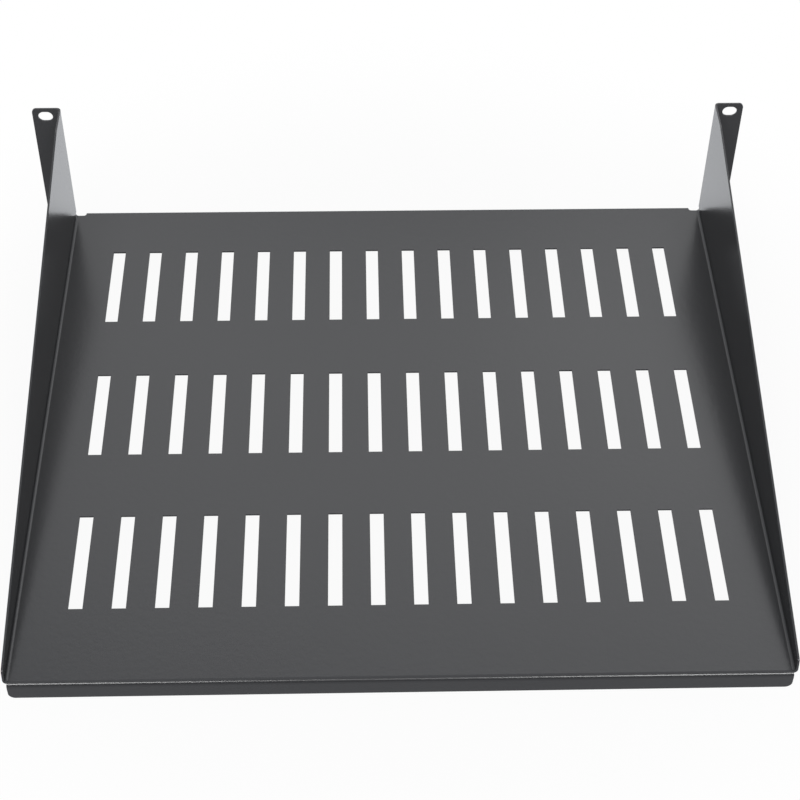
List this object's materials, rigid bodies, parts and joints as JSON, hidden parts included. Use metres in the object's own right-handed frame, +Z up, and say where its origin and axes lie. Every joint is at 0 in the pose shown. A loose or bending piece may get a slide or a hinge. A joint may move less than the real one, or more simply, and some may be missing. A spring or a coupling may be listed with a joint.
{
  "type": "cantilever rack shelf",
  "caption": "Folded sheet shelf for a 19 inch rack: slotted deck, side walls that taper to the free end, and outward ears with bolt holes.",
  "frame": {"origin": "middle of the footprint, on the plane that the lower edges of the lip and the front flange stand on", "axes": "+X across the rack, +Y from the free end towards the ears and the rack's front, +Z up"},
  "size_m": [0.4826, 0.4066, 0.1032],
  "materials": {
    "powder_coat": "satin black powder coat with a fine orange-peel texture on folded sheet steel"
  },
  "bodies": {
    "root": {"shelf_tray": "powder_coat"}
  },
  "joints": []
}
